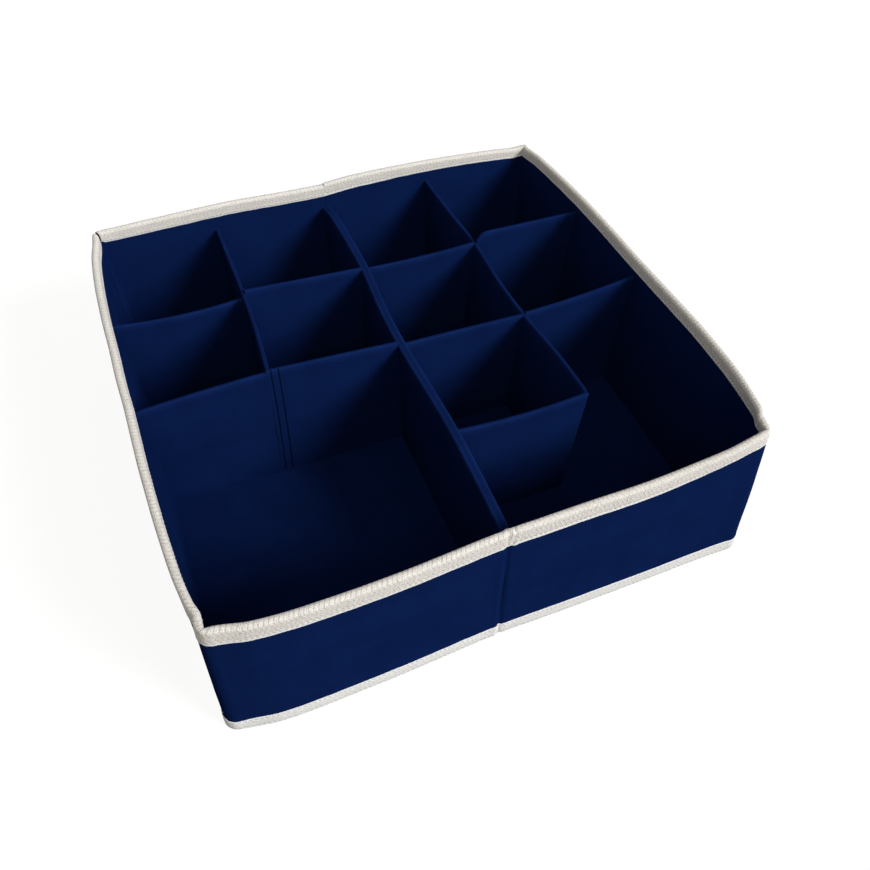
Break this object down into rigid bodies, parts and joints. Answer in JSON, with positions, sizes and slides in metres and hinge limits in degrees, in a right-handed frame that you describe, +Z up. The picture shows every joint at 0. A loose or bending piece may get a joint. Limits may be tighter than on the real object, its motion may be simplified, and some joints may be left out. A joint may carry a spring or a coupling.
{
  "type": "compartment storage box",
  "caption": "Fabric-covered drawer organizer with fixed dividers, a cream-bound rim and a chevron fold that lets it store flat.",
  "frame": {"origin": "centre of the base, on the surface that the box stands on", "axes": "+Z up out of the open top, +X to the right, +Y from the front wall to the back wall"},
  "size_m": [0.34, 0.34, 0.11],
  "materials": {
    "navy_fabric": "matte non-woven fabric, navy blue",
    "cream_tape": "matte woven twill binding tape, cream",
    "inner_board": "grey-brown cardboard"
  },
  "bodies": {
    "root": {"centre_divider_board": "inner_board", "centre_divider_cover": "navy_fabric", "front_gusset_cover": "navy_fabric", "front_gusset_foot_tape": "cream_tape", "front_gusset_rim_tape": "cream_tape"},
    "front_left_wall": {"front_left_wall_board": "inner_board", "front_left_wall_cover": "navy_fabric", "front_left_wall_foot_tape": "cream_tape", "front_left_wall_rim_tape": "cream_tape"},
    "left_wall": {"left_wall_board": "inner_board", "left_wall_cover": "navy_fabric", "left_wall_foot_tape": "cream_tape", "left_wall_rim_tape": "cream_tape"},
    "back_left_wall": {"back_left_wall_board": "inner_board", "back_left_wall_cover": "navy_fabric", "back_left_wall_foot_tape": "cream_tape", "back_left_wall_rim_tape": "cream_tape"},
    "left_base": {"left_base_board": "inner_board", "left_base_cover": "navy_fabric", "left_base_edge_tape": "cream_tape"},
    "left_divider": {"left_divider_board": "inner_board", "left_divider_cover": "navy_fabric"},
    "rear_cross_left_inner": {"rear_cross_left_inner_board": "inner_board", "rear_cross_left_inner_cover": "navy_fabric"},
    "rear_cross_left_outer": {"rear_cross_left_outer_board": "inner_board", "rear_cross_left_outer_cover": "navy_fabric"},
    "middle_cross_left_inner": {"middle_cross_left_inner_board": "inner_board", "middle_cross_left_inner_cover": "navy_fabric"},
    "middle_cross_left_outer": {"middle_cross_left_outer_board": "inner_board", "middle_cross_left_outer_cover": "navy_fabric"},
    "front_right_wall": {"front_right_wall_board": "inner_board", "front_right_wall_cover": "navy_fabric", "front_right_wall_foot_tape": "cream_tape", "front_right_wall_rim_tape": "cream_tape"},
    "right_wall": {"right_wall_board": "inner_board", "right_wall_cover": "navy_fabric", "right_wall_foot_tape": "cream_tape", "right_wall_rim_tape": "cream_tape"},
    "back_right_wall": {"back_right_wall_board": "inner_board", "back_right_wall_cover": "navy_fabric", "back_right_wall_foot_tape": "cream_tape", "back_right_wall_rim_tape": "cream_tape"},
    "right_base": {"right_base_board": "inner_board", "right_base_cover": "navy_fabric", "right_base_edge_tape": "cream_tape"},
    "right_divider": {"right_divider_board": "inner_board", "right_divider_cover": "navy_fabric"},
    "rear_cross_right_inner": {"rear_cross_right_inner_board": "inner_board", "rear_cross_right_inner_cover": "navy_fabric"},
    "rear_cross_right_outer": {"rear_cross_right_outer_board": "inner_board", "rear_cross_right_outer_cover": "navy_fabric"},
    "middle_cross_right_inner": {"middle_cross_right_inner_board": "inner_board", "middle_cross_right_inner_cover": "navy_fabric"},
    "middle_cross_right_outer": {"middle_cross_right_outer_board": "inner_board", "middle_cross_right_outer_cover": "navy_fabric"},
    "front_cross_right_inner": {"front_cross_right_inner_board": "inner_board", "front_cross_right_inner_cover": "navy_fabric"}
  },
  "joints": [
    {"name": "front_left_fold", "type": "hinge", "parent": "root", "child": "front_left_wall", "pos_m": [-0.0052, -0.1654, 0.055], "axis": [0, 0, -1], "range_deg": [0, 88]},
    {"name": "left_wall_corner", "type": "hinge", "parent": "front_left_wall", "child": "left_wall", "pos_m": [-0.1646, -0.1718, 0.055], "axis": [0, 0, 1], "range_deg": [0, 88]},
    {"name": "back_left_corner", "type": "hinge", "parent": "left_wall", "child": "back_left_wall", "pos_m": [-0.1597, 0.1636, 0.055], "axis": [0, 0, -1], "range_deg": [0, 88]},
    {"name": "left_base_fold", "type": "hinge", "parent": "left_wall", "child": "left_base", "pos_m": [-0.17, 0, 0], "axis": [0, 1, 0], "range_deg": [0, 88]},
    {"name": "rear_cross_left_fold", "type": "hinge", "parent": "root", "child": "rear_cross_left_inner", "pos_m": [-0.002, 0.08495, 0.055], "axis": [0, 0, -1], "range_deg": [0, 88]},
    {"name": "middle_cross_left_fold", "type": "hinge", "parent": "root", "child": "middle_cross_left_inner", "pos_m": [-0.002, 0.0016, 0.055], "axis": [0, 0, -1], "range_deg": [0, 88]},
    {"name": "left_divider_seam", "type": "hinge", "parent": "rear_cross_left_inner", "child": "left_divider", "pos_m": [-0.0817, 0.08175, 0.055], "axis": [0, 0, 1], "range_deg": [0, 88]},
    {"name": "rear_cross_left_outer_fold", "type": "hinge", "parent": "left_divider", "child": "rear_cross_left_outer", "pos_m": [-0.0857, 0.08495, 0.055], "axis": [0, 0, -1], "range_deg": [0, 88]},
    {"name": "middle_cross_left_outer_fold", "type": "hinge", "parent": "left_divider", "child": "middle_cross_left_outer", "pos_m": [-0.0857, 0.0016, 0.055], "axis": [0, 0, -1], "range_deg": [0, 88]},
    {"name": "front_right_fold", "type": "hinge", "parent": "root", "child": "front_right_wall", "pos_m": [0.0052, -0.1654, 0.055], "axis": [0, 0, 1], "range_deg": [0, 88]},
    {"name": "right_wall_corner", "type": "hinge", "parent": "front_right_wall", "child": "right_wall", "pos_m": [0.1646, -0.1718, 0.055], "axis": [0, 0, -1], "range_deg": [0, 88]},
    {"name": "back_right_corner", "type": "hinge", "parent": "right_wall", "child": "back_right_wall", "pos_m": [0.1597, 0.1636, 0.055], "axis": [0, 0, 1], "range_deg": [0, 88]},
    {"name": "right_base_fold", "type": "hinge", "parent": "right_wall", "child": "right_base", "pos_m": [0.17, 0, 0], "axis": [0, -1, 0], "range_deg": [0, 88]},
    {"name": "rear_cross_right_fold", "type": "hinge", "parent": "root", "child": "rear_cross_right_inner", "pos_m": [0.002, 0.08495, 0.055], "axis": [0, 0, 1], "range_deg": [0, 88]},
    {"name": "middle_cross_right_fold", "type": "hinge", "parent": "root", "child": "middle_cross_right_inner", "pos_m": [0.002, 0.0016, 0.055], "axis": [0, 0, 1], "range_deg": [0, 88]},
    {"name": "right_divider_seam", "type": "hinge", "parent": "rear_cross_right_inner", "child": "right_divider", "pos_m": [0.0817, 0.08175, 0.055], "axis": [0, 0, -1], "range_deg": [0, 88]},
    {"name": "rear_cross_right_outer_fold", "type": "hinge", "parent": "right_divider", "child": "rear_cross_right_outer", "pos_m": [0.0857, 0.08495, 0.055], "axis": [0, 0, 1], "range_deg": [0, 88]},
    {"name": "middle_cross_right_outer_fold", "type": "hinge", "parent": "right_divider", "child": "middle_cross_right_outer", "pos_m": [0.0857, 0.0016, 0.055], "axis": [0, 0, 1], "range_deg": [0, 88]},
    {"name": "front_cross_right_fold", "type": "hinge", "parent": "root", "child": "front_cross_right_inner", "pos_m": [0.002, -0.08175, 0.055], "axis": [0, 0, 1], "range_deg": [0, 88]}
  ],
  "couplings": [
    {"joint": "front_left_fold", "follows": "front_right_fold", "ratio": 1},
    {"joint": "left_wall_corner", "follows": "front_right_fold", "ratio": 1},
    {"joint": "back_left_corner", "follows": "front_right_fold", "ratio": 1},
    {"joint": "left_base_fold", "follows": "front_right_fold", "ratio": 1},
    {"joint": "rear_cross_left_fold", "follows": "front_right_fold", "ratio": 1},
    {"joint": "middle_cross_left_fold", "follows": "front_right_fold", "ratio": 1},
    {"joint": "left_divider_seam", "follows": "front_right_fold", "ratio": 1},
    {"joint": "rear_cross_left_outer_fold", "follows": "front_right_fold", "ratio": 1},
    {"joint": "middle_cross_left_outer_fold", "follows": "front_right_fold", "ratio": 1},
    {"joint": "right_wall_corner", "follows": "front_right_fold", "ratio": 1},
    {"joint": "back_right_corner", "follows": "front_right_fold", "ratio": 1},
    {"joint": "right_base_fold", "follows": "front_right_fold", "ratio": 1},
    {"joint": "rear_cross_right_fold", "follows": "front_right_fold", "ratio": 1},
    {"joint": "middle_cross_right_fold", "follows": "front_right_fold", "ratio": 1},
    {"joint": "right_divider_seam", "follows": "front_right_fold", "ratio": 1},
    {"joint": "rear_cross_right_outer_fold", "follows": "front_right_fold", "ratio": 1},
    {"joint": "middle_cross_right_outer_fold", "follows": "front_right_fold", "ratio": 1},
    {"joint": "front_cross_right_fold", "follows": "front_right_fold", "ratio": 1}
  ]
}
